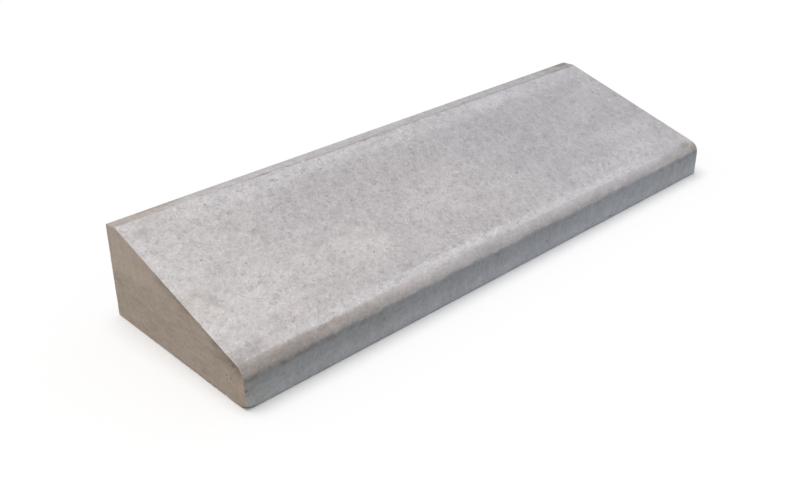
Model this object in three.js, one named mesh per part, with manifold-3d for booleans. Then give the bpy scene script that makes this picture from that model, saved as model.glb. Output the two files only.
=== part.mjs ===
// Concrete kerb stone: one cast block with a low upright front, a round nose, a broad slope and
// a narrow flat land along its back. Millimetres, +Z up. X runs along the kerb, the front faces -Y
// and the origin is the middle of the bed.
import * as THREE from "three";
import { mergeVertices } from "three/addons/utils/BufferGeometryUtils.js";
import Module from "manifold-3d";

// Overall size
const LENGTH = 1000;
const WIDTH = 300;
const BACK_HEIGHT = 145;

// Section
const FRONT_HEIGHT = 55; // from the bed to where the front and the slope would meet in a point
const LAND_WIDTH = 24; // flat strip on top, along the back
const NOSE_RADIUS = 20;
const CREASE_RADIUS = 8; // between the land and the slope
const BACK_ARRIS_RADIUS = 2;
const FRONT_FOOT_RADIUS = 1.5;
const BACK_FOOT_RADIUS = 1.5;

// Ends
const END_ARRIS = 1; // rounding all round each end face
const END_ARRIS_STEPS = 3;

// Knocked corner at the front foot of the left end: what it takes off each of the three edges
const CHIP_ALONG = 15;
const CHIP_ACROSS = 13;
const CHIP_UP = 8;

const ARC_STEPS = 8; // half the facets of a rounded corner of the section

const WEATHERED_CONCRETE = 0xc3c0c0;

// Adds one corner of the section to the outline as an arc tangent to both of its sides.
function addRoundedCorner(outline, before, corner, after, radius) {
  const back = before.clone().sub(corner).normalize();
  const on = after.clone().sub(corner).normalize();
  const halfAngle = Math.acos(back.dot(on)) / 2;
  const bisector = back.clone().add(on).normalize();
  const centre = corner.clone().addScaledVector(bisector, radius / Math.sin(halfAngle));
  const reach = radius / Math.tan(halfAngle);
  const start = corner.clone().addScaledVector(back, reach).sub(centre).angle();
  const end = corner.clone().addScaledVector(on, reach).sub(centre).angle();
  const clockwise = back.cross(on) > 0;
  outline.absarc(centre.x, centre.y, radius, start, end, clockwise);
}

// The section, drawn with its x across the kerb and its y upwards, anticlockwise from the front foot.
function kerbSection() {
  const front = -WIDTH / 2;
  const back = WIDTH / 2;
  const corners = [
    { at: new THREE.Vector2(front, 0), radius: FRONT_FOOT_RADIUS },
    { at: new THREE.Vector2(back, 0), radius: BACK_FOOT_RADIUS },
    { at: new THREE.Vector2(back, BACK_HEIGHT), radius: BACK_ARRIS_RADIUS },
    { at: new THREE.Vector2(back - LAND_WIDTH, BACK_HEIGHT), radius: CREASE_RADIUS },
    { at: new THREE.Vector2(front, FRONT_HEIGHT), radius: NOSE_RADIUS },
  ];
  const outline = new THREE.Shape();
  corners.forEach(({ at, radius }, i) => {
    const before = corners[(i + corners.length - 1) % corners.length].at;
    const after = corners[(i + 1) % corners.length].at;
    addRoundedCorner(outline, before, at, after, radius);
  });
  return outline;
}

// The block: the section run along X, with every arris of both ends rounded.
function castBlock() {
  const block = new THREE.ExtrudeGeometry(kerbSection(), {
    depth: LENGTH - 2 * END_ARRIS,
    curveSegments: ARC_STEPS,
    bevelThickness: END_ARRIS,
    bevelSize: END_ARRIS,
    bevelOffset: -END_ARRIS,
    bevelSegments: END_ARRIS_STEPS,
  });
  const acrossKerb = new THREE.Vector3(0, 1, 0);
  const upwards = new THREE.Vector3(0, 0, 1);
  const alongKerb = new THREE.Vector3(1, 0, 0);
  block.applyMatrix4(new THREE.Matrix4().makeBasis(acrossKerb, upwards, alongKerb));
  return block.translate(END_ARRIS - LENGTH / 2, 0, 0);
}

// A slab that lies outside the broken plane of the knocked corner.
function cornerCutter() {
  const corner = new THREE.Vector3(-LENGTH / 2, -WIDTH / 2, 0);
  const along = corner.clone().setX(corner.x + CHIP_ALONG);
  const across = corner.clone().setY(corner.y + CHIP_ACROSS);
  const up = corner.clone().setZ(corner.z + CHIP_UP);
  const broken = new THREE.Plane().setFromCoplanarPoints(along, across, up);
  const outward = broken.distanceToPoint(corner) > 0 ? 1 : -1;
  const normal = broken.normal.multiplyScalar(outward);
  const side = 2 * Math.hypot(CHIP_ALONG, CHIP_ACROSS, CHIP_UP);
  const middle = along.add(across).add(up).divideScalar(3);
  const turn = new THREE.Quaternion().setFromUnitVectors(new THREE.Vector3(0, 0, 1), normal);
  const cutter = new THREE.BoxGeometry(side, side, side).applyQuaternion(turn);
  const centre = middle.addScaledVector(normal, side / 2);
  return cutter.translate(centre.x, centre.y, centre.z);
}

const wasm = await Module();
wasm.setup();

function toSolid(geometry) {
  const bare = geometry.clone();
  bare.deleteAttribute("normal");
  bare.deleteAttribute("uv");
  const merged = mergeVertices(bare);
  return new wasm.Manifold(
    new wasm.Mesh({
      numProp: 3,
      vertProperties: merged.attributes.position.array,
      triVerts: new Uint32Array(merged.index.array),
    }),
  );
}

function toGeometry(solid) {
  const { vertProperties, triVerts } = solid.getMesh();
  const geometry = new THREE.BufferGeometry();
  geometry.setAttribute("position", new THREE.BufferAttribute(vertProperties, 3));
  geometry.setIndex(new THREE.BufferAttribute(triVerts, 1));
  geometry.computeVertexNormals();
  return geometry;
}

function kerbStone() {
  const stone = toSolid(castBlock()).subtract(toSolid(cornerCutter()));
  const concrete = new THREE.MeshStandardMaterial({
    color: WEATHERED_CONCRETE,
    roughness: 0.9,
    metalness: 0,
  });
  const mesh = new THREE.Mesh(toGeometry(stone), concrete);
  mesh.name = "kerb_stone";
  return mesh;
}

const kerb = new THREE.Group();
kerb.add(kerbStone());

export default kerb;
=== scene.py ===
import math
import bpy
import numpy as np
from mathutils import Matrix, Vector
from mathutils.geometry import delaunay_2d_cdt


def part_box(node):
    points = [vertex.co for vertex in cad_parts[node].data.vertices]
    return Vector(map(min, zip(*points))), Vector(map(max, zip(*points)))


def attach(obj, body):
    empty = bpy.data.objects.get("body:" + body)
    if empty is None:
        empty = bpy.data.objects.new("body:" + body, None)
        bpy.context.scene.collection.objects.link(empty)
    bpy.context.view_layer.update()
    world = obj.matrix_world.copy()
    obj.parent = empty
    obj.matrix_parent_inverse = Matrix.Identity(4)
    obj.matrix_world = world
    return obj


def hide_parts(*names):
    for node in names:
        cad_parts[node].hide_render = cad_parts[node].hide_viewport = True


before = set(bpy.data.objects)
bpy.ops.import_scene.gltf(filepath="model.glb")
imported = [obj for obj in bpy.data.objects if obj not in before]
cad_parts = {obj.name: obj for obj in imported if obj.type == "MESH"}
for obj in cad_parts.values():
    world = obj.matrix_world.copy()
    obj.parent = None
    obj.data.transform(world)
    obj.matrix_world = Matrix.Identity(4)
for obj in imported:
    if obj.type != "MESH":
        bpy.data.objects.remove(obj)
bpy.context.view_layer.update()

# The kerb stone's shape: one block of dense concrete, cast in a steel mould and handled since.
# Its outline has an upright front, a round nose, a broad slope and a narrow flat land.
# Sizes in this section are in millimetres; the mesh is turned into metres as it is made.
MM = 0.001
left, front, bed = np.array(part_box("kerb_stone")[0]) / MM
right, back, top = np.array(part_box("kerb_stone")[1]) / MM
land_width = 24
front_height = 55
nose_radius = 20
crease_radius = 8
back_arris = 2
front_foot = 1.5
back_foot = 1.5
end_arris = 1.0

# Each corner of the section, and the spacing of the points on the side that follows it.
fine_step = 2.3
foot_step = 3.0
corners = [
    {"at": (front, bed), "radius": front_foot, "step": foot_step},
    {"at": (back, bed), "radius": back_foot, "step": foot_step},
    {"at": (back, top), "radius": back_arris, "step": fine_step},
    {"at": (back - land_width, top), "radius": crease_radius, "step": fine_step},
    {"at": (front, front_height), "radius": nose_radius, "step": fine_step},
]
arc_step = 1.4
least_arc_steps = 3


def rounded_corner(before, at, after, radius):
    """Points and outward normals of the arc that meets both sides of a corner."""
    before, at, after = (np.array(p, float) for p in (before, at, after))
    to_before = (before - at) / np.linalg.norm(before - at)
    to_after = (after - at) / np.linalg.norm(after - at)
    half_angle = math.acos(to_before @ to_after) / 2
    bisector = (to_before + to_after) / np.linalg.norm(to_before + to_after)
    centre = at + bisector * radius / math.sin(half_angle)
    turn = math.pi - 2 * half_angle
    steps = max(least_arc_steps, math.ceil(radius * turn / arc_step))
    middle = math.atan2(-bisector[1], -bisector[0])
    angles = middle + np.linspace(-turn / 2, turn / 2, steps + 1)
    normals = np.stack([np.cos(angles), np.sin(angles)], axis=1)
    return centre + radius * normals, normals


def section():
    """The outline, anticlockwise from the front foot, and where each side starts and ends in it."""
    arcs = []
    for i, corner in enumerate(corners):
        before, after = corners[i - 1]["at"], corners[(i + 1) % len(corners)]["at"]
        arcs.append(rounded_corner(before, corner["at"], after, corner["radius"]))
    points, normals, sides = [], [], []
    count = 0
    for i, (arc, arc_normals) in enumerate(arcs):
        start, end = arc[-1], arcs[(i + 1) % len(arcs)][0][0]
        steps = round(np.linalg.norm(end - start) / corners[i]["step"])
        along = np.linspace(0, 1, steps + 1)[1:-1, None]
        points += [arc, start + (end - start) * along]
        normals += [arc_normals, np.repeat(arc_normals[-1:], len(along), axis=0)]
        sides.append((count + len(arc) - 1, count + len(arc) + len(along)))
        count += len(arc) + len(along)
    return np.concatenate(points), np.concatenate(normals), sides


outline, outline_normals, sides = section()
bed_side, back_side = sides[0], sides[1]
around = len(outline)

# Rings of the outline along the kerb: a quarter round at each end, then steps that widen.
arris_bends = np.linspace(0, math.pi / 2, 4)
widening = np.array([0.6, 0.9, 1.3, 1.8])
start_x = np.concatenate(
    [end_arris * (1 - np.cos(arris_bends)), end_arris + np.cumsum(widening)]
)
start_inset = np.concatenate([end_arris * (1 - np.sin(arris_bends)), 0 * widening])
start_bend = np.concatenate([arris_bends, 0 * widening + math.pi / 2])
middle_length = right - left - 2 * start_x[-1]
middle_count = round(middle_length / fine_step)
middle_x = start_x[-1] + middle_length * np.linspace(0, 1, middle_count + 1)[1:-1]
ring_x = left + np.concatenate([start_x, middle_x, right - left - start_x[::-1]])
ring_inset = np.concatenate([start_inset, 0 * middle_x, start_inset[::-1]])
ring_bend = np.concatenate([start_bend, 0 * middle_x + math.pi / 2, math.pi - start_bend[::-1]])
full_rings = len(arris_bends)
rings = len(ring_x)

ring_points = np.zeros((rings, around, 3))
ring_points[:, :, 0] = ring_x[:, None]
ring_points[:, :, 1:] = outline - outline_normals * ring_inset[:, None, None]
ring_normals = np.zeros((rings, around, 3))
ring_normals[:, :, 0] = -np.cos(ring_bend)[:, None]
ring_normals[:, :, 1:] = outline_normals * np.sin(ring_bend)[:, None, None]

# The bed and the back are plain, so between the ends their rings give way to wider patches.
present = np.ones((rings, around), bool)
for start, end in (bed_side, back_side):
    present[full_rings : rings - full_rings, start + 1 : end] = False
number = np.full((rings, around), -1)
number[present] = np.arange(present.sum())
points = [ring_points[present]]
normals = [ring_normals[present]]
faces = []
for i in range(rings - 1):
    for j in range(around):
        k = (j + 1) % around
        quad = [number[i, j], number[i, k], number[i + 1, k], number[i + 1, j]]
        if min(quad) >= 0:
            faces.append(quad)


def depth_inside(flat):
    """How far points of the section's plane lie inside the outline, and the nearest point of it."""
    depth = np.einsum("ijk,jk->ij", outline[None] - flat[:, None], outline_normals)
    return depth.min(axis=1), depth.argmin(axis=1)


inside_only = 1
same_point = 1e-6
sliver_area = 0.0005


def add_patch(loop, loop_flat, inner_flat, place, normal):
    """Fills a loop of existing points with triangles over new inner points.

    Along a straight run of the loop the triangulation can add slivers on top of other faces.
    They are left out, so that the mesh stays closed, with two faces at every edge.
    """
    first = sum(len(p) for p in points)
    flat = [Vector(p) for p in np.concatenate([loop_flat, inner_flat])]
    edge = [list(range(len(loop)))]
    made = delaunay_2d_cdt(flat, [], edge, inside_only, same_point, True)
    index = np.concatenate([loop, first + np.arange(len(inner_flat))])
    source = [index[origin[0]] for origin in made[3]]
    inner_points = place(inner_flat)
    points.append(inner_points)
    normals.append(np.tile(np.array(normal, float), (len(inner_points), 1)))
    everything = np.concatenate(points)
    for triangle in made[2]:
        a, b, c = (source[v] for v in triangle)
        facing = np.cross(everything[b] - everything[a], everything[c] - everything[a]) @ normal
        if abs(facing) > 2 * sliver_area:
            faces.append([a, b, c] if facing > 0 else [a, c, b])


def box_rows(low_corner, high_corner, insets, spacing):
    """Points in rows just inside a rectangle's edge."""
    found = []
    for inset in insets:
        a, b = low_corner + inset, high_corner - inset
        across = np.linspace(a[0], b[0], round((b[0] - a[0]) / spacing))
        upright = np.linspace(a[1], b[1], round((b[1] - a[1]) / spacing))
        for level in (a[1], b[1]):
            found.append(np.stack([across, 0 * across + level], axis=1))
        for level in (a[0], b[0]):
            found.append(np.stack([0 * upright[1:-1] + level, upright[1:-1]], axis=1))
    return np.concatenate(found)


def grid(low_corner, high_corner, spacing):
    axes = [
        np.linspace(a, b, max(2, round((b - a) / spacing) + 1))
        for a, b in zip(low_corner, high_corner)
    ]
    return np.stack(np.meshgrid(*axes, indexing="ij"), axis=-1).reshape(-1, 2)


# The bed and the back: rows close to their edges, and a wide grid between.
edge_rows = (1.3, 2.9, 5.0)
row_step = 4.0
wide_step = 12.0
wide_margin = 10.0
for (start, end), axis, normal in ((bed_side, 1, (0, 0, -1)), (back_side, 2, (0, 1, 0))):
    first, last = full_rings - 1, rings - full_rings
    loop = np.concatenate(
        [
            number[first, start : end + 1],
            number[first + 1 : last, end],
            number[last, start : end + 1][::-1],
            number[first + 1 : last, start][::-1],
        ]
    )
    loop_points = np.concatenate(points)[loop]
    loop_flat = loop_points[:, [0, axis]]
    low_corner, high_corner = loop_flat.min(axis=0), loop_flat.max(axis=0)
    inner = np.concatenate(
        [
            box_rows(low_corner, high_corner, edge_rows, row_step),
            grid(low_corner + wide_margin, high_corner - wide_margin, wide_step),
        ]
    )
    level = loop_points[:, 3 - axis].mean()

    def on_side(flat, axis=axis, level=level):
        placed = np.full((len(flat), 3), level)
        placed[:, 0] = flat[:, 0]
        placed[:, axis] = flat[:, 1]
        return placed

    add_patch(loop, loop_flat, inner, on_side, normal)

# The two ends: rows close to the arris, and an even grid between.
end_step = 2.9
end_rows = (2.4, 4.2)
row_slack = 0.1
clear_of_rows = end_rows[-1] + 0.6 * end_step
for ring, x, normal in ((0, left, (-1, 0, 0)), (rings - 1, right, (1, 0, 0))):
    rows = [outline - outline_normals * inset for inset in end_rows]
    rows = [row[depth_inside(row)[0] > inset - row_slack] for row, inset in zip(rows, end_rows)]
    even = grid(np.array([front, bed]), np.array([back, top]), end_step)
    even = even[depth_inside(even)[0] > clear_of_rows]
    loop = number[ring]
    loop_flat = ring_points[ring, :, 1:]

    def on_end(flat, x=x):
        return np.column_stack([np.full(len(flat), x), flat])

    add_patch(loop, loop_flat, np.concatenate(rows + [even]), on_end, normal)

points = np.concatenate(points)
normals = np.concatenate(normals)


lump_table = 64


def lumps(places, size, seed):
    """Smooth random heights, from -1 to 1, with lumps of about that size."""
    table = np.random.default_rng(seed).uniform(-1, 1, (lump_table, lump_table, lump_table))
    cell = places / size
    base = np.floor(cell).astype(int)
    part = cell - base
    part = part * part * (3 - 2 * part)
    total = np.zeros(len(places))
    for corner in np.ndindex(2, 2, 2):
        weight = np.prod(np.where(corner, part, 1 - part), axis=1)
        i, j, k = ((base + corner) % lump_table).T
        total += weight * table[i, j, k]
    return total


def ramp(value, start, end):
    """0 at start, 1 at end, smooth between."""
    t = np.clip((value - start) / (end - start), 0, 1)
    return t * t * (3 - 2 * t)


# Relief of the cast faces, all of it inwards so that the stone keeps its size.
x, y, z = points.T
sag = 0.25
slope_start, slope_end = front + nose_radius, back - land_width
share = np.clip((y - slope_start) / (slope_end - slope_start), 0, 1)
sagging = ramp(normals[:, 2], 0.9, 0.94)
sagging *= ramp(y, front + 6, slope_start) * ramp(y, slope_end, slope_end - 4)
hollow = sag * (1 - (2 * share - 1) ** 2) * sagging
for depth, size, seed in [(0.10, 170, 11), (0.06, 55, 12), (0.05, 16, 13), (0.05, 6.5, 14)]:
    hollow += depth * (1 + lumps(points, size, seed))
flatter_ends = 0.6
hollow *= 1 - flatter_ends * np.abs(normals[:, 0])
points = points - normals * hollow[:, None]

# At its left end the land was struck off low: it falls towards the back.
land_fall = 2.7
behind_crease = np.clip((y - slope_end) / land_width, 0, 1)
points[:, 2] -= land_fall * behind_crease * (right - x) / (right - left) * z / top

# Wear of the arrises: each is cut back to a ragged chamfer of its own depth. Nicks are on the left
# end only, and its foot is bitten away in places.
near_end = x < 0
from_end = np.where(near_end, points[:, 0] - left, right - points[:, 0])
from_side, nearest = depth_inside(points[:, 1:])
side_normal = np.zeros((len(points), 3))
side_normal[:, 1:] = outline_normals[nearest]
end_normal = np.zeros((len(points), 3))
end_normal[:, 0] = np.where(near_end, -1, 1)


def outside_chamfer(first_depth, second_depth, first_normal, second_normal, leg):
    """How far out of a chamfer of that leg each point lies, along both faces' normals."""
    out = np.maximum(0, leg - first_depth - second_depth) / 2
    return out[:, None] * (first_normal + second_normal)


rough = 0.35 * lumps(points, 2.6, 21)
end_wear = 0.6 + 0.4 * lumps(points, 14, 22) + 0.4 * lumps(points, 5, 23) + rough
nicks = 1.8 * ramp(lumps(points, 16, 24), 0.5, 0.9) * near_end
ragged_foot = ramp(points[:, 2], 14, 4) * near_end
foot_wear = 0.1 + 0.9 * lumps(points, 9, 25) + 0.7 * lumps(points, 5, 26)
foot_bites = [(10, 42, 0.9), (-45, 20, 2.0), (-79, 13, 1.2), (-103, 7, 2.0), (-134, 5, 1.2)]
bite_edge = 4
for middle, reach, bite in foot_bites:
    off_middle = np.abs(points[:, 1] - middle)
    foot_wear += bite * ramp(off_middle, reach + bite_edge, reach - bite_edge)
end_chamfer = end_wear + nicks * (1 - ragged_foot) + ragged_foot * np.maximum(0, foot_wear)
points = points - outside_chamfer(from_side, from_end, side_normal, end_normal, end_chamfer)

down = np.array([[0.0, 0.0, -1.0]])
forward = np.array([[0.0, -1.0, 0.0]])
backward = np.array([[0.0, 1.0, 0.0]])
upward = np.array([[0.0, 0.0, 1.0]])
foot_chamfer = 0.7 + 1.0 * lumps(points, 24, 27) + 0.7 * lumps(points, 7, 28) + rough
from_front, from_bed = points[:, 1] - front, points[:, 2] - bed
points = points - outside_chamfer(from_front, from_bed, forward, down, foot_chamfer)
from_back, from_bed = back - points[:, 1], points[:, 2] - bed
points = points - outside_chamfer(from_back, from_bed, backward, down, foot_chamfer)
back_chamfer = 1.0 + 0.5 * lumps(points, 30, 29) + 0.5 * lumps(points, 8, 30) + rough
from_back, from_top = back - points[:, 1], top - points[:, 2]
points = points - outside_chamfer(from_back, from_top, backward, upward, back_chamfer)

# The knocked corner: a broken face across the front foot of the left end.
chip_along, chip_across, chip_up = 15, 13, 8
chip_normal = np.array([-1 / chip_along, -1 / chip_across, -1 / chip_up])
chip_normal /= np.linalg.norm(chip_normal)
chip_edge = np.array([left + chip_along, front, bed])
beyond = (points - chip_edge) @ chip_normal + 0.5 * lumps(points, 4, 31)
points = points - np.maximum(0, beyond)[:, None] * chip_normal
points[:, 2] = np.maximum(points[:, 2], bed)

kerb_mesh = bpy.data.meshes.new("kerb_stone_cast")
kerb_mesh.from_pydata((points * MM).tolist(), [], [[int(v) for v in f] for f in faces])
kerb_mesh.shade_smooth()
kerb = bpy.data.objects.new("kerb_stone_cast", kerb_mesh)
bpy.context.scene.collection.objects.link(kerb)
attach(kerb, "root")
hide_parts("kerb_stone")

# The stone's surface: a dry grey cement skin under a pale bloom, with dimples, grain and pores.
# Its front is cool and bluish, its ends a dusty beige; dirt has gathered at its edges, with painted
# shade along some of them and painted light at the feet.
class Wire:
    """A shader socket. Arithmetic on it adds Math nodes to Wire.tree, node() any other node."""

    tree = None

    def __init__(self, socket):
        self.socket = socket

    @staticmethod
    def node(kind, settings, inputs, output=None):
        """Makes a node, sets its settings, then fills or links its sockets."""
        made = Wire.tree.nodes.new(kind)
        for name, value in settings.items():
            setattr(made, name, value)
        for name, value in inputs.items():
            named = [s for s in made.inputs if s.enabled and s.name == name]
            socket = named[0] if named else made.inputs[name]
            if isinstance(value, Wire):
                Wire.tree.links.new(value.socket, socket)
            else:
                socket.default_value = value
        shown = [s for s in made.outputs if s.enabled and output in (None, s.name)]
        return Wire(shown[0])

    @staticmethod
    def math(operation, *values):
        return Wire.node("ShaderNodeMath", {"operation": operation}, dict(enumerate(values)))

    def __add__(self, other):
        return Wire.math("ADD", self, other)

    def __sub__(self, other):
        return Wire.math("SUBTRACT", self, other)

    def __rsub__(self, other):
        return Wire.math("SUBTRACT", other, self)

    def __mul__(self, other):
        return Wire.math("MULTIPLY", self, other)

    def __truediv__(self, other):
        return Wire.math("DIVIDE", self, other)

    def __abs__(self):
        return Wire.math("ABSOLUTE", self)

    __radd__ = __add__
    __rmul__ = __mul__


concrete = bpy.data.materials.new("weathered_concrete")
concrete.use_nodes = True
kerb_mesh.materials.append(concrete)
Wire.tree = concrete.node_tree


def vector(operation, *values, **named):
    inputs = {**dict(enumerate(values)), **named}
    return Wire.node("ShaderNodeVectorMath", {"operation": operation}, inputs)


def fade(value, start, end):
    """0 at start, 1 at end, smooth between."""
    settings = {"interpolation_type": "SMOOTHSTEP", "clamp": False}
    inputs = {"Value": value, "From Min": start, "From Max": end}
    return Wire.node("ShaderNodeMapRange", settings, inputs)


def squeezed(*sizes):
    """Where a texture is looked up, so that its cells are that many millimetres along each axis."""
    scale = [1 / (MM * size) for size in sizes]
    return Wire.node("ShaderNodeMapping", {}, {"Vector": coordinates, "Scale": scale})


noise_gain = 7


def cloud(size, seed, stretch=(1, 1, 1), detail=2.0):
    """Random waves, mostly between -1 and 1, with lumps of about that many millimetres."""
    looked_up = squeezed(*(size * s for s in stretch))
    inputs = {"Vector": looked_up, "W": seed, "Scale": 1.0, "Detail": detail}
    noise = Wire.node("ShaderNodeTexNoise", {"noise_dimensions": "4D"}, inputs, "Fac")
    return (noise - 0.5) * noise_gain


def spot(centre, reach, edge=0.4):
    """1 inside an uneven oval round a place, 0 outside it."""
    off = vector("DIVIDE", vector("SUBTRACT", uneven_place, centre), reach)
    return fade(vector("LENGTH", off), 1 + edge, 1 - edge)


def slope_place(x, y):
    """A place on the slope, with the height that it has there."""
    return (x, y, front_height + slope_rise * (y - front))


def slope_spot(x, y, along, across):
    """An uneven oval on the slope, by its middle and its reach along and across the kerb."""
    return spot(slope_place(x, y), (along, across, across))


soft_rim = 0.6


def speck(centre, radius):
    """1 inside a small round hole, 0 outside it."""
    off = vector("LENGTH", vector("SUBTRACT", place, centre))
    return fade(off, radius + soft_rim, radius - soft_rim)


def over(colour, mask, under):
    """Lays a colour over another where the mask is 1."""
    inputs = {"Factor": mask, "A": under, "B": colour}
    return Wire.node("ShaderNodeMix", {"data_type": "RGBA"}, inputs)


slope_rise = (top - front_height) / (slope_end - front)
coordinates = Wire.node("ShaderNodeTexCoord", {}, {}, "Object")
facing = Wire.node("ShaderNodeTexCoord", {}, {}, "Normal")
place = vector("SCALE", coordinates, Scale=1 / MM)
axes = ((1, 0, 0), (0, 1, 0), (0, 0, 1))
px, py, pz = (vector("DOT_PRODUCT", place, axis) for axis in axes)
nx, ny, nz = (vector("DOT_PRODUCT", facing, axis) for axis in axes)

wobble = {"Vector": squeezed(7, 7, 7), "Scale": 1.0, "Detail": 2.0}
wobble = Wire.node("ShaderNodeTexNoise", {}, wobble, "Color")
centred = vector("SUBTRACT", wobble, (0.5, 0.5, 0.5))
wobble_reach = 11.0
uneven_place = vector("ADD", place, vector("SCALE", centred, Scale=wobble_reach))

# Where each face is
nose_top = -136.5
nose_foot = 46
below_slope = front_height + slope_rise * (py - front) - pz
towards_left = fade(px, 420, -480)
crease_at = 127.2 - 3.0 * fade(px, -240, -140) + 0.9 * fade(px, -60, 60)
on_end = fade(abs(nx), 0.45, 0.75)
behind_crease = py - crease_at + 0.5 * cloud(11, 1.3, (1, 1, 1), 3.0)
on_land = fade(behind_crease, -2.0, 0.2) * fade(nz, 0.3, 0.6)
smeared = 1.3 * fade(px, -220, -340) + 1.6 * fade(px, 260, 400)
wander = 0.5 * cloud(5, 1.1) + smeared * cloud(13, 1.2, (1.6, 1, 1), 3.0)
past_slope = fade((py + wander - nose_top) / (0.8 + smeared), 1, -1)
below_nose = fade(pz + 1.5 * cloud(9, 2.1, (2, 1, 1), 4.0), nose_foot + 1.8, nose_foot - 1.8)
on_front = below_nose * fade(ny, -0.8, -0.95)
on_back = fade(ny, 0.8, 0.95)
on_bed = fade(nz, -0.6, -0.9)
on_nose = past_slope * (1 - on_front) * (1 - on_bed)
on_slope = (1 - past_slope) * (1 - on_land) * (1 - on_back) * (1 - on_bed) * (1 - on_end)

# Lime bloom, thickest at the left end, with a cooler skin under the land and above the nose
bloom = 0.09 + 0.34 * fade(px, -150, -520) + 0.33 * fade(px, 420, -420)
bloom -= 0.10 * fade(py, 30, 60) * fade(py, 96, 84) * fade(px, -450, -330) * fade(px, 250, 150)
bloom += 0.12 * fade(py + 14 * cloud(80, 3.7), -20, -50)
bloom += 0.16 * fade(py, -80, -100) * fade(px, 150, 240)
bloom += 0.25 * slope_spot(-225, -60, 40, 40) + 0.22 * slope_spot(395, -70, 60, 35)
bloom -= 0.06 * slope_spot(-375, 106, 30, 10) + 0.14 * slope_spot(-478, 100, 22, 9)
bloom -= 0.45 * fade(px + 12 * cloud(14, 3.9), -445, -475) * fade(py, -112, -124)
bloom += 0.10 * cloud(150, 5.1, (2, 1, 1)) + 0.06 * cloud(42, 6.1)
warm_cement = (0.475, 0.451, 0.464, 1)
cool_cement = (0.470, 0.451, 0.478, 1)
lime = (0.678, 0.645, 0.638, 1)
cool_lime = (0.672, 0.645, 0.656, 1)
chalk = (0.668, 0.646, 0.662, 1)
cool_chalk = (0.666, 0.645, 0.682, 1)
cement = over(cool_cement, fade(px, -350, 350), warm_cement)
colour = over(over(cool_lime, fade(px, 0, 300), lime), bloom, cement)
chalky = 0.35 * fade(py + 5 * cloud(30, 3.1), 86, 102) * fade(px, -480, -360)
chalky += 0.30 * slope_spot(-170, 112, 85, 13) + 0.30 * slope_spot(250, 108, 60, 15)
above_nose = fade(py + 2.2 * cloud(11, 4.1), -119, -127)
chalky += 0.55 * above_nose * fade(px, -430, -340) * fade(px, 430, 330)
chalky += 0.08 * fade(py, 108, 118) * fade(px, 20, 120) + 0.25 * slope_spot(-375, -106, 75, 9)
colour = over(over(cool_chalk, fade(px, -100, 250), chalk), chalky, colour)

# The other faces: the front and the back are a cool grey, the ends beige
land_grey = (0.450, 0.433, 0.461, 1)
land_pale = (0.518, 0.495, 0.497, 1)
land_dust = (0.455, 0.436, 0.428, 1)
nose_warm = (0.537, 0.503, 0.499, 1)
nose_cool = (0.529, 0.505, 0.517, 1)
front_grey = (0.450, 0.462, 0.482, 1)
front_blue = (0.478, 0.502, 0.543, 1)
front_olive = (0.450, 0.452, 0.447, 1)
end_beige = (0.482, 0.396, 0.326, 1)
end_pale = (0.537, 0.442, 0.371, 1)
bed_grey = (0.42, 0.40, 0.385, 1)
colour = over(over(land_pale, fade(px, 400, -400), land_grey), on_land, colour)
colour = over(land_dust, 0.5 * fade(py, 137, 144) * on_land, colour)
nose = over(nose_cool, fade(px, -250, 100), nose_warm)
colour = over(nose, on_nose * (1 - 0.4 * fade(px, 300, 420)), colour)
bluish = over(front_blue, fade(px, -450, 100) + 0.2 * cloud(120, 6.5), front_grey)
bluish = over(front_olive, 0.8 * fade(px + 8 * cloud(20, 6.6), -440, -485), bluish)
colour = over(bluish, on_front, colour)
colour = over(front_grey, on_back, colour)
colour = over(bed_grey, on_bed, colour)
pale_end = fade(pz + 5 * cloud(30, 6.7), 74, 88) * fade(py + 6 * cloud(30, 6.8), 22, 50)
colour = over(over(end_pale, pale_end, end_beige), on_end, colour)


def scoops(apart, seed, least, most):
    """Dimples of uneven size on the slope, up to 1 at their lower side and 0 outside them."""
    moved = vector("ADD", place, vector("SCALE", wobble, Scale=0.5 * apart))
    spread = vector("MULTIPLY_ADD", moved, (1 / apart, 0.78 / apart, 0), (seed, 0, 0))
    cells = {"Vector": spread, "Scale": 1.0}
    kind = {"voronoi_dimensions": "2D"}
    middle = Wire.node("ShaderNodeTexVoronoi", kind, cells, "Position")
    luck = Wire.node("ShaderNodeTexVoronoi", kind, cells, "Color")
    size_luck = Wire.node("ShaderNodeSeparateColor", {}, {0: luck}, "Red")
    depth_luck = Wire.node("ShaderNodeSeparateColor", {}, {0: luck}, "Green")
    off = vector("SUBTRACT", spread, middle)
    inside = fade(vector("LENGTH", off) - (most - least) * size_luck, least + 0.05, least - 0.05)
    downhill = vector("DOT_PRODUCT", off, (0.3, -0.95, 0))
    return inside * fade(downhill, -0.4, 0.3) * (0.3 + 0.7 * depth_luck)


# The fine pattern: scooped dimples on the slope, mottle and grain all over
worked = 0.85 + 0.15 * towards_left - 0.15 * fade(px, -370, -450)
worked += 0.15 * fade(abs(px + 40), 130, 70)
worked *= on_slope
dimples = scoops(11, 7.0, 0.12, 0.45) * worked
pocks = scoops(6.5, 8.0, 0.12, 0.4) * worked
strokes = fade(cloud(5, 9.1, (0.7, 1.8, 1.8), 1.0), 0.3, 1.1) * worked
swirls = {"Vector": squeezed(13, 17, 17), "Scale": 1.0, "Detail": 1.0, "Distortion": 1.5}
swirls = Wire.node("ShaderNodeTexNoise", {}, swirls, "Fac")
hairs = fade(abs(swirls - 0.5), 0.03, 0.0) * fade(cloud(20, 9.6), 0.1, 0.6) * worked
scabs = fade(cloud(8, 7.1, (1, 1.2, 1.2), 2.0), -0.3, -1.1) * (0.2 + worked)
grain = cloud(4.2, 10.1, (1, 1, 1), 3.0)
mottle = cloud(16, 11.1, (1, 1.2, 1.2), 4.0)


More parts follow.
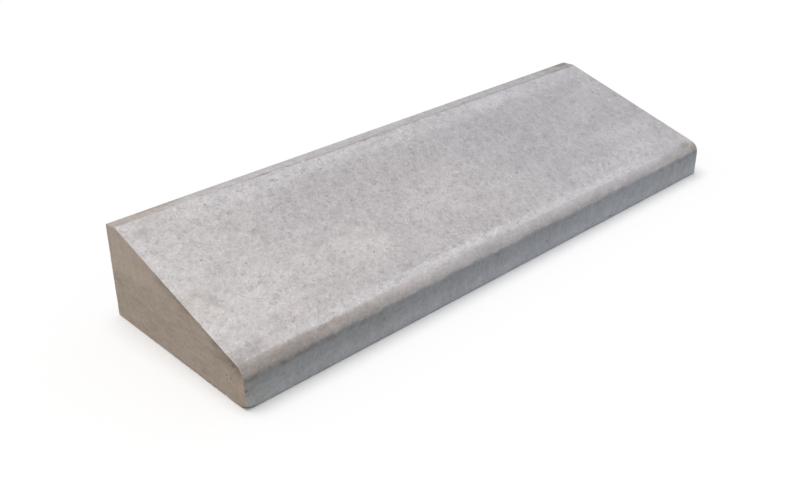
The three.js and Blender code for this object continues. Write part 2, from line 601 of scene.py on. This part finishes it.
def pinholes(apart, widest):
    """Round air holes, 1 inside, one to a cell of that size at most, and few of them wide."""
    cells = {"Vector": squeezed(apart, apart, apart), "Scale": 1.0}
    luck = Wire.node("ShaderNodeTexVoronoi", {}, cells, "Color")
    luck = Wire.node("ShaderNodeSeparateColor", {}, {0: luck}, "Red")
    distance = Wire.node("ShaderNodeTexVoronoi", {}, cells, "Distance")
    return fade(distance - widest / apart * luck * luck * luck * luck, 0.01, -0.01)


holed_band = on_slope * fade(py, 84, 96) * fade(px, -440, -400) * fade(px, -100, -180)
air_holes = pinholes(24, 2.4) + pinholes(11, 1.7) * holed_band
pattern = 0.05 * mottle * (1 - 0.6 * on_end) + 0.06 * grain
pattern += 0.07 * scabs - 0.10 * dimples - 0.07 * pocks
pattern += 0.10 * strokes - 0.09 * hairs - 0.35 * air_holes
pattern += (0.03 * cloud(7, 12.6, (2.2, 1, 1), 3.0) + 0.02 * grain) * (on_front + on_back)
pattern += (0.055 * cloud(7, 12.7, (0.8, 1.6, 1), 4.0) + 0.04 * grain) * on_land
pattern += (0.05 * cloud(14, 12.8, (1.3, 1, 1), 4.0) + 0.02 * grain) * on_nose

# Fine streaks: upright on the front and high on the ends, level on the lower part of the ends
upright_streaks = cloud(6, 12.1, (1, 1, 8))
level_streaks = cloud(6, 12.2, (1, 3.2, 0.9), 3.0)
pattern += 0.02 * upright_streaks * (on_front + on_back)
level = 1 - pale_end
streaks = 0.08 * level_streaks * level + 0.045 * upright_streaks * pale_end
pattern += (streaks - 0.015 * grain) * on_end

# Painted light and shade: the front paler at its foot and darker up to the nose, the ends darker
# under the slope's edge and paler at their foot
# Painted light and shade: the front is painted paler at its foot, where the floor throws light
# back, and darker up towards the nose
upper = 0.18 + 0.04 * fade(px, 0, -300) - 0.05 * fade(px, 50, 200)
painted_light_and_marks = on_front * (0.13 * fade(pz, 24, 4) - fade(pz, 12, 38) * upper)
smudges = fade(abs(pz - 42.5), 7, 1) * fade(py, -138, -146) * (1 - on_end)
smudges *= 0.35 + 0.65 * fade(cloud(9, 13.1, (1.6, 1, 1), 4.0), -0.7, 1.0)
painted_light_and_marks -= smudges * (0.08 + 0.04 * fade(px, -270, -400))
# Painted shade: a thin dark line on the ends just under the slope's edge
painted_light_and_marks -= 0.20 * fade(below_slope, 2.6, 0.8) * on_end
# Painted light: the ends are painted paler at their foot, lifting the floor's shadow there
painted_light_and_marks += 0.04 * fade(pz, 12, 4) * on_end
# Painted shade along the back edge of the land, where it rounds off
back_edge_shade = 0.02 + 0.09 * fade(abs(px), 80, 180) + 0.10 * fade(px, 120, 260)
painted_light_and_marks -= back_edge_shade * fade(py, 147, 149.3) * fade(nz, 0.2, 0.8)

# Wide soft patches on the slope: middle, reach along and across, and how much darker or paler
for x, y, along, across, change in [
    (-475, 103, 12, 7, -0.10),
    (-455, 92, 16, 4, -0.05),
    (-425, -38, 26, 24, 0.04),
    (-478, -66, 22, 30, 0.04),
    (-100, -124, 100, 9, 0.07),
    (-275, -128, 30, 7, 0.05),
    (350, -107, 55, 20, 0.05),
    (400, 77, 55, 14, -0.05),
    (464, 65, 32, 7, 0.05),
    (464, 15, 32, 6, 0.04),
    (15, -119, 14, 7, 0.05),
    (430, -131, 70, 5, -0.05),
    (-95, 119, 32, 6, 0.07),
    (-345, 112, 30, 4, 0.06),
    (-32, 111, 30, 4, -0.06),
    (280, 99, 30, 7, -0.07),
    (-100, 83, 130, 9, 0.045),
    (300, 40, 60, 30, -0.045),
    (-125, 25, 60, 20, -0.035),
    (-125, -95, 60, 14, 0.035),
    (-405, -118, 28, 8, -0.06),
    (280, -118, 30, 9, 0.05),
    (-470, -104, 28, 18, -0.055),
    (-440, 117, 60, 4, -0.05),
    (440, 108, 65, 7, -0.05),
]:
    painted_light_and_marks += change * slope_spot(x, y, along, across)

# Air holes of its own on the slope
for x, y in [
    (-493, -89),
    (-487, -69),
    (-471, -63),
    (-468, -114),
    (-453, -47),
    (-440, -69),
    (-387, -9),
    (-373, -41),
    (-329, -75),
    (-313, -50),
    (-291, -71),
    (-280, -41),
    (-257, -55),
    (-121, -67),
    (-49, -126),
    (-488, 69),
    (-476, 84),
    (-436, 70),
    (-399, 92),
    (-368, 110),
    (-357, 95),
    (-345, 105),
    (-340, 82),
    (-318, 99),
    (-284, 116),
]:
    painted_light_and_marks -= 0.32 * speck(slope_place(x, y), 1.3)

# Small dark marks of its own, from knocks and splashes
for x, y, along, across, darker in [
    (-398, 115, 3, 2, 0.16),
    (-248, 109, 7, 3, 0.28),
    (-224, 108, 8, 2.5, 0.24),
    (-271, 84, 7, 3, 0.20),
    (-192, 108, 7, 3, 0.22),
    (-231, 85, 3, 3, 0.20),
    (-173, 24, 3, 3, 0.18),
    (-257, -53, 4, 3, 0.16),
    (-460, -46, 6, 14, 0.08),
    (-431, 1, 10, 9, 0.06),
    (-399, -45, 10, 4, 0.10),
    (-339, -51, 4, 6, 0.10),
    (-70, -34, 4, 3, 0.16),
    (-48, -72, 4, 3, 0.14),
    (118, 120, 5, 3, 0.14),
    (177, 33, 3, 4, 0.16),
    (367, 115, 6, 4, 0.12),
    (388, 42, 9, 3, 0.14),
    (446, 68, 10, 3, 0.13),
]:
    painted_light_and_marks -= darker * slope_spot(x, y, along, across)

# Dark lumps under the nose, drips on the front, scratches on the left end and knocks on the land
for centre, reach, change in [
    ((-482, front, 41), (14, 9, 3), -0.05),
    ((-442, front, 41), (6, 9, 3), -0.10),
    ((-310, front, 41), (7, 9, 2.5), -0.06),
    ((-45, front, 40), (7, 9, 3), -0.10),
    ((90, front, 40), (7, 9, 3), -0.10),
    ((130, front, 40), (14, 9, 3), -0.10),
    ((200, front, 40), (8, 9, 3), -0.12),
    ((260, front, 40), (12, 9, 3), -0.10),
    ((385, front, 41), (9, 9, 3), -0.14),
    ((420, front, 34), (5, 9, 9), -0.12),
    ((445, front, 36), (5, 9, 7), -0.12),
    ((465, front, 30), (9, 9, 10), -0.10),
    ((left, -65, 41), (9, 1.6, 8), 0.06),
    ((left, -28, 27), (9, 1.6, 8), 0.06),
    ((left, 5, 28), (9, 1.6, 7), 0.06),
    ((left, 78, 27), (9, 1.6, 8), 0.05),
    ((left, 46, 10), (9, 1.6, 6), 0.06),
    ((left, 32, 83), (9, 1.6, 6), 0.06),
    ((left, -84, 12), (9, 3, 2), -0.12),
    ((left, 60, 111), (9, 2.5, 11), -0.06),
    ((left, 80, 113), (9, 2.5, 11), -0.06),
    ((left, -130, 18), (9, 9, 8), -0.07),
    ((-418, front, 15), (2, 9, 1.5), -0.20),
    ((-411, front, 19), (2.5, 9, 4), -0.14),
    ((-441, front, 26), (3, 9, 3), -0.12),
    ((-274, front, 30), (4, 9, 3), -0.12),
    ((-250, front, 33), (9, 9, 2.5), -0.10),
    ((-236, front, 5), (2, 9, 1), -0.25),
    ((-372, 137, top), (3, 2, 9), -0.12),
    ((-362, 131, top), (4, 2.5, 9), -0.12),
    ((-310, 136, top), (3, 3, 9), -0.08),
    ((-208, 129, top), (3, 4, 9), -0.14),
    ((191, 128.5, top), (16, 2.2, 9), -0.20),
    ((56, 134, top), (4, 2.5, 9), -0.10),
    ((-290, 129, top), (60, 4, 9), -0.05),
    ((420, 128, top), (8, 3, 9), -0.10),
    ((447, 127, top), (9, 3, 9), -0.12),
    ((365, 145, top), (9, 3, 9), -0.10),
    ((-20, 145, top), (150, 8, 9), 0.05),
    ((-62, -140, 57), (60, 8, 8), -0.05),
    ((405, -149, 46), (75, 5, 4), 0.10),
    ((198, -147, 50), (17, 4, 4), -0.09),
    ((82, -149, 46), (5, 4, 2.5), -0.12),
    ((440, front, 34), (60, 9, 8), 0.06),
    ((30, front, 9), (30, 9, 7), -0.06),
    ((440, -147, 50), (60, 6, 5), 0.06),
    ((-470, -149, 47), (32, 6, 4), 0.06),
    ((-405, -138, 58), (32, 5, 5), -0.06),
    ((-35, front, 46), (45, 6, 3), 0.03),
    ((220, -148, 48), (40, 6, 4), 0.05),
    ((left, -90, 40), (9, 20, 6), -0.05),
    ((left, -95, 24), (9, 20, 5), 0.03),
    ((left, 105, 40), (9, 12, 5), -0.06),
    ((left, 45, 70), (9, 12, 6), -0.05),
    ((left, 15, 55), (9, 12, 6), 0.045),
    ((left, 90, 92), (9, 25, 16), 0.03),
]:
    painted_light_and_marks += change * spot(centre, reach)
painted_light_and_marks -= 0.07 * fade(py, 133, 125) * on_land * fade(px, -120, 40)
painted_light_and_marks -= 0.05 * fade(py, 139, 144) * on_land * fade(px, 150, 250)

# Black specks by the front corner of the left end
for centre, radius, darker in [
    ((-469, -149, 46.5), 1.6, 0.20),
    ((-482, front, 43), 1.5, 0.16),
    ((-497, front, 28), 2.0, 0.34),
    ((-495, front, 20), 1.5, 0.22),
    ((-487, front, 18), 1.5, 0.18),
    ((left, -130, 55), 2.2, 0.30),
    ((left, -135, 49), 1.8, 0.25),
    ((left, -114, 34), 1.7, 0.35),
    ((left, -123, 34), 1.7, 0.35),
    ((left, -116, 29), 1.4, 0.30),
]:
    painted_light_and_marks -= darker * speck(centre, radius)

# Dirt lies in runs along the crease, and brown on the land, the nose and the ends' edges
crease_line = fade(abs(py - crease_at + 0.6 * cloud(22, 14.1)), 3.4, 0.4) * fade(px, -380, -340)
crease_line *= (0.35 + 0.65 * fade(cloud(8, 14.3, (1, 1, 1), 3.0), -0.9, 0.7)) * (1 - on_end)
packed = 0.12 + 0.04 * fade(px, 80, 220)
for x, reach, thick in [
    (-316, 11, 0.46),
    (-262, 23, 0.56),
    (-198, 34, 0.20),
    (-95, 72, 0.20),
    (-57, 12, 0.06),
    (5, 14, 0.12),
]:
    packed += thick * fade(abs(px + 3 * cloud(9, 14.2) - x), reach + 5, reach - 5)
crease = crease_line * packed
soil = (0.25, 0.205, 0.17, 1)
soiled = 0.45 * spot((481, 143, top), (19, 9, 9)) + 0.08 * spot((470, 138, top), (40, 14, 9))
soiled += 0.16 * fade(px, 380, 440) + 0.25 * spot((-425, 147, top), (34, 7, 9))
soiled = soiled * on_land + crease
soiled += 0.22 * spot((-490, -146, 52), (100, 12, 12)) * on_nose
soiled += 0.25 * spot((-370, -146, 52), (150, 10, 10)) * on_nose
soiled += 0.25 * spot((-494, -138, 59), (8, 9, 8)) + 0.10 * slope_spot(-465, -128, 50, 11)
soiled += 0.32 * smudges * (fade(px, -270, -400) + fade(px, 330, 430))
soiled += 0.22 * spot((450, -143, 54), (60, 10, 11)) + 0.35 * spot((474, -137, 60), (13, 5, 7))
soiled += 0.30 * spot((491, -146, 50), (8, 8, 8))
soiled += 0.17 * spot((-493, front, 33), (11, 6, 15)) * on_front
for y, z, across, upright, thick in [
    (-128, 56, 16, 9, 0.50),
    (-98, 64, 13, 13, 0.32),
    (-35, 89, 13, 6, 0.30),
    (5, 106, 20, 6, 0.30),
    (48, 84, 13, 3, 0.12),
    (76, 50, 9, 3, 0.10),
    (110, 48, 14, 4, 0.10),
    (135, 57, 14, 4, 0.12),
]:
    soiled += thick * spot((left, y, z), (9, across, upright), 0.9) * on_end
soiled += 0.25 * fade(below_slope + 2 * cloud(14, 13.3), 9, 1) * fade(py, 25, -5) * on_end
colour = over(soil, soiled, colour)
rusty = (0.36, 0.22, 0.15, 1)
rusted = 0.06 * fade(px, -260, -400) * on_nose
rusted += 0.14 * spot((left, -128, 50), (9, 16, 11), 0.9) * on_end
rusted += 0.3 * spot((-47, 135, top), (2.5, 3.5, 9))
rust_edge = px + 25 * cloud(12, 16.1, (4, 1, 1)) - 1.5 * (py - 138)
rusted += 0.29 * fade(rust_edge, -370, -420) * on_land
rusted += 0.10 * slope_spot(-484, -40, 30, 30) + 0.10 * slope_spot(-482, -126, 32, 9)
rusted += 0.10 * spot((-370, -104, 70), (85, 12, 12))
for x, reach in [(-372, 8), (-350, 9), (-330, 3), (-297, 4)]:
    patch = spot((x, -141, 57), (reach, 4, 4))
    rusted += 0.14 * patch
    painted_light_and_marks -= 0.08 * patch
colour = over(rusty, rusted, colour)
tan = (0.50, 0.38, 0.27, 1)
tanned = 0.7 * fade(py + 1.5 * cloud(9, 16.6), -139, -148) * fade(pz, 2, 10) * fade(pz, 50, 36)
colour = over(tan, tanned * on_end, colour)

shader = Wire.tree.nodes["Principled BSDF"]
shader.inputs["Specular IOR Level"].default_value = 0.2
tone = (1 + pattern) * (1 + painted_light_and_marks)
Wire.tree.links.new(vector("SCALE", colour, Scale=tone).socket, shader.inputs["Base Color"])
Wire.tree.links.new((0.9 - 0.06 * on_nose + 0.02 * grain).socket, shader.inputs["Roughness"])
relief = 0.14 * grain + 0.2 * mottle - 1.0 * dimples - 0.4 * pocks + 0.4 * scabs
relief += 0.4 * strokes - 0.3 * hairs - 1.2 * air_holes
bump = Wire.node("ShaderNodeBump", {}, {"Height": relief, "Distance": MM})
Wire.tree.links.new(bump.socket, shader.inputs["Normal"])

# The floor: a plain sheet of white paper under the stone. The camera sees it white, with the
# stone's shadow on it, and what it throws back on the stone is duller.
floor_reach = 30.0
floor_mesh = bpy.data.meshes.new("floor")
floor_corners = [(-1, -1, 0), (1, -1, 0), (1, 1, 0), (-1, 1, 0)]
floor_mesh.from_pydata([Vector(c) * floor_reach for c in floor_corners], [], [(0, 1, 2, 3)])
floor = bpy.data.objects.new("floor", floor_mesh)
bpy.context.scene.collection.objects.link(floor)
seen_white = (1, 1, 1, 1)
thrown_back = (0.62, 0.62, 0.62, 1)
paper = bpy.data.materials.new("paper")
paper.use_nodes = True
Wire.tree = paper.node_tree


def seen():
    """1 where the camera looks, straight or in a shine or through glass, and 0 for other light."""
    kinds = ("Is Camera Ray", "Is Glossy Ray", "Is Transmission Ray")
    straight, shine, through = [Wire.node("ShaderNodeLightPath", {}, {}, k) for k in kinds]
    return Wire.math("MAXIMUM", Wire.math("MAXIMUM", straight, shine), through)


paper_shader = Wire.tree.nodes["Principled BSDF"]
paper_shader.inputs["Roughness"].default_value = 1
paper_shader.inputs["Specular IOR Level"].default_value = 0
paper_colour = over(seen_white, seen(), thrown_back)
Wire.tree.links.new(paper_colour.socket, paper_shader.inputs["Base Color"])
floor_mesh.materials.append(paper)

# The light: one wide soft lamp overhead, a little behind the stone, and an even surround.
world = bpy.data.worlds.new("surround")
bpy.context.scene.world = world
world.use_nodes = True
Wire.tree = world.node_tree
surround = 0.40
background = Wire.tree.nodes["Background"]
background.inputs["Color"].default_value = (1, 1, 1, 1)
strength = surround + (1 - surround) * seen()
Wire.tree.links.new(strength.socket, background.inputs["Strength"])
lamp_spread = math.radians(50)
lamp_level = 0.62
lamp_heading = Vector((0.15, -0.15, -1))
lamp_data = bpy.data.lights.new("overhead_lamp", "SUN")
lamp_data.angle = lamp_spread
lamp_data.energy = lamp_level * math.pi
lamp = bpy.data.objects.new("overhead_lamp", lamp_data)
lamp.rotation_euler = lamp_heading.to_track_quat("-Z", "Y").to_euler()
bpy.context.scene.collection.objects.link(lamp)

# The camera: a little above the stone, off its left front corner, looking across it.
bpy.context.scene.view_settings.view_transform = "Standard"
picture_width = 800
picture_height = 480
sensor_width = 36
focal_pixels = 937.43
view_azimuth = math.radians(-40.314)
view_elevation = math.radians(26.155)
view_roll = math.radians(-1.910)
view_distance = 1.32182
view_target = Vector((-0.22736, 0, 0.10647))
axis_column, axis_row = 333.71, 219.5
camera_data = bpy.data.cameras.new("camera")
camera_data.sensor_width = sensor_width
camera_data.lens = focal_pixels * sensor_width / picture_width
camera_data.shift_x = (picture_width / 2 - axis_column) / picture_width
camera_data.shift_y = (axis_row - picture_height / 2) / picture_width
towards_camera = Vector(
    (
        math.sin(view_azimuth) * math.cos(view_elevation),
        -math.cos(view_azimuth) * math.cos(view_elevation),
        math.sin(view_elevation),
    )
)
camera = bpy.data.objects.new("camera", camera_data)
looking = (-towards_camera).to_track_quat("-Z", "Y").to_matrix()
rolled = looking @ Matrix.Rotation(view_roll, 3, "Z")
camera.rotation_euler = rolled.to_euler()
camera.location = view_target + towards_camera * view_distance
bpy.context.scene.collection.objects.link(camera)
bpy.context.scene.camera = camera
